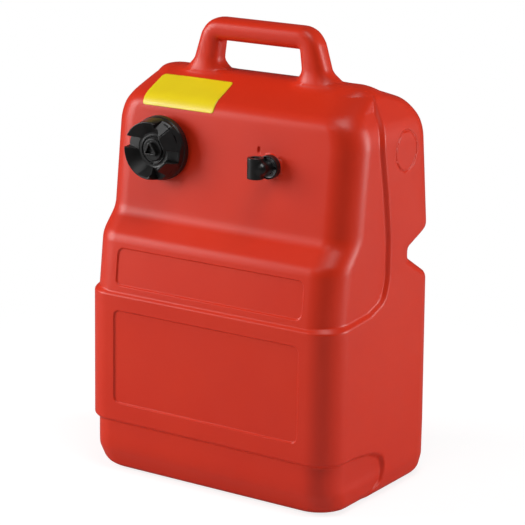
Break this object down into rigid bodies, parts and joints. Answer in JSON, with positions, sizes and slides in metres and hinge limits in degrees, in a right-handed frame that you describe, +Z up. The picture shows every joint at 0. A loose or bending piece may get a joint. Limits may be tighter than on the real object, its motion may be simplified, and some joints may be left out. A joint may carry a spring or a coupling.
{
  "type": "outboard fuel tank",
  "caption": "Upright portable fuel tank in moulded plastic, with an integral carry handle, a vented screw cap, a blank label and a swivel fuel outlet with its pickup tube and strainer.",
  "frame": {"origin": "on the ground under the middle of the tank's width and depth", "axes": "+Z up, -Y towards the front face with the filler cap, +X to the side of the fuel outlet"},
  "size_m": [0.33, 0.224, 0.515],
  "materials": {
    "tank_plastic": "satin, faintly grained moulded polyethylene",
    "label_film": "smooth printed film, blank",
    "black_plastic": "satin moulded",
    "seal_rubber": "matte",
    "clip_steel": "bright spring steel",
    "hose_rubber": "matte",
    "strainer_plastic": "matte",
    "strainer_gauze": "woven gauze"
  },
  "bodies": {
    "tank": {"tank_body": "tank_plastic", "label": "label_film", "outlet_base": "black_plastic", "outlet_gasket": "seal_rubber", "outlet_nut": "black_plastic", "elbow_clip": "clip_steel", "pickup_tube": "hose_rubber", "tube_clamp": "clip_steel", "strainer_cage": "strainer_plastic", "strainer_mesh": "strainer_gauze"},
    "cap_carrier": {"cap_gasket": "seal_rubber"},
    "cap": {"cap_shell": "black_plastic", "cap_insert": "black_plastic", "umbrella_valve": "seal_rubber"},
    "vent_carrier": {"vent_o_ring": "seal_rubber"},
    "vent": {"vent_knob": "black_plastic", "vent_clip": "clip_steel"},
    "outlet": {"outlet_elbow": "black_plastic", "elbow_o_ring": "seal_rubber"}
  },
  "joints": [
    {"name": "cap_lift", "type": "slide", "parent": "tank", "child": "cap_carrier", "axis": [0, -1, 0], "range_m": [0, 0.0136]},
    {"name": "cap_turn", "type": "hinge", "parent": "cap_carrier", "child": "cap", "pos_m": [-0.083, -0.086, 0.376], "axis": [0, -1, 0], "range_deg": [0, 810]},
    {"name": "vent_lift", "type": "slide", "parent": "cap", "child": "vent_carrier", "axis": [0, -1, 0], "range_m": [0, 0.00152]},
    {"name": "vent_turn", "type": "hinge", "parent": "vent_carrier", "child": "vent", "pos_m": [-0.083, -0.092, 0.376], "axis": [0, -1, 0], "range_deg": [0, 360]},
    {"name": "outlet_turn", "type": "hinge", "parent": "tank", "child": "outlet", "pos_m": [0.058, -0.08989, 0.3725], "axis": [0, -1, 0], "range_deg": [-90, 90]}
  ],
  "couplings": [
    {"joint": "cap_lift", "follows": "cap_turn", "m_per_rad": 0.00095493},
    {"joint": "vent_lift", "follows": "vent_turn", "m_per_rad": 0.00023873}
  ]
}
